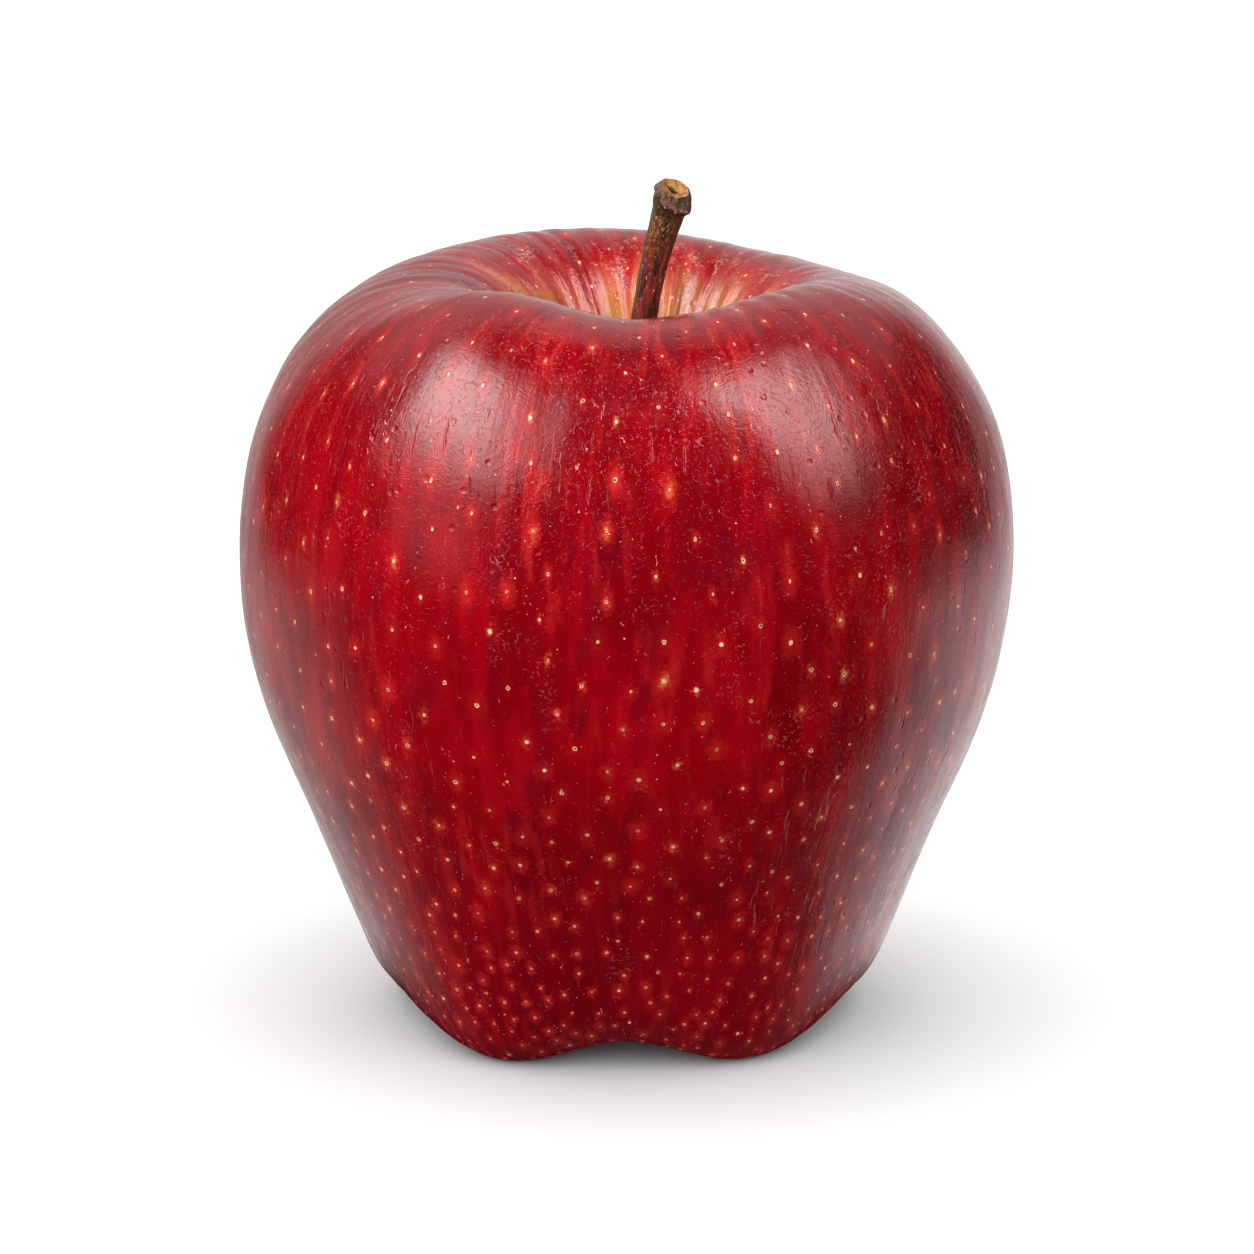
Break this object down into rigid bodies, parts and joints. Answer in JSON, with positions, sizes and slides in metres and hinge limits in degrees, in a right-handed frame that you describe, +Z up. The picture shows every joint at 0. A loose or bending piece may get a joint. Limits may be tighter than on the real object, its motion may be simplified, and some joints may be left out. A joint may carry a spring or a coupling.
{
  "type": "red apple",
  "caption": "Tapered red apple that stands on its lobed base, with a woody stem in the cavity above and a dried calyx in the basin below.",
  "frame": {"origin": "on the table under the middle of the apple, between its five feet", "axes": "+Z up along the core towards the stem, -Y towards the viewer's side, +X to the viewer's right"},
  "size_m": [0.079, 0.0801, 0.0866],
  "materials": {
    "apple_skin": "waxy gloss crimson skin with paler streaks and cream dots",
    "stem_wood": "dry red-brown bark with a tan cut end",
    "dried_calyx": "matt dried leaf, greenish brown",
    "dried_stamens": "matt dried threads, dark brown"
  },
  "bodies": {
    "root": {"fruit": "apple_skin", "stem": "stem_wood", "sepal_1": "dried_calyx", "sepal_2": "dried_calyx", "sepal_3": "dried_calyx", "sepal_4": "dried_calyx", "sepal_5": "dried_calyx", "stamen_tuft": "dried_stamens"}
  },
  "joints": []
}
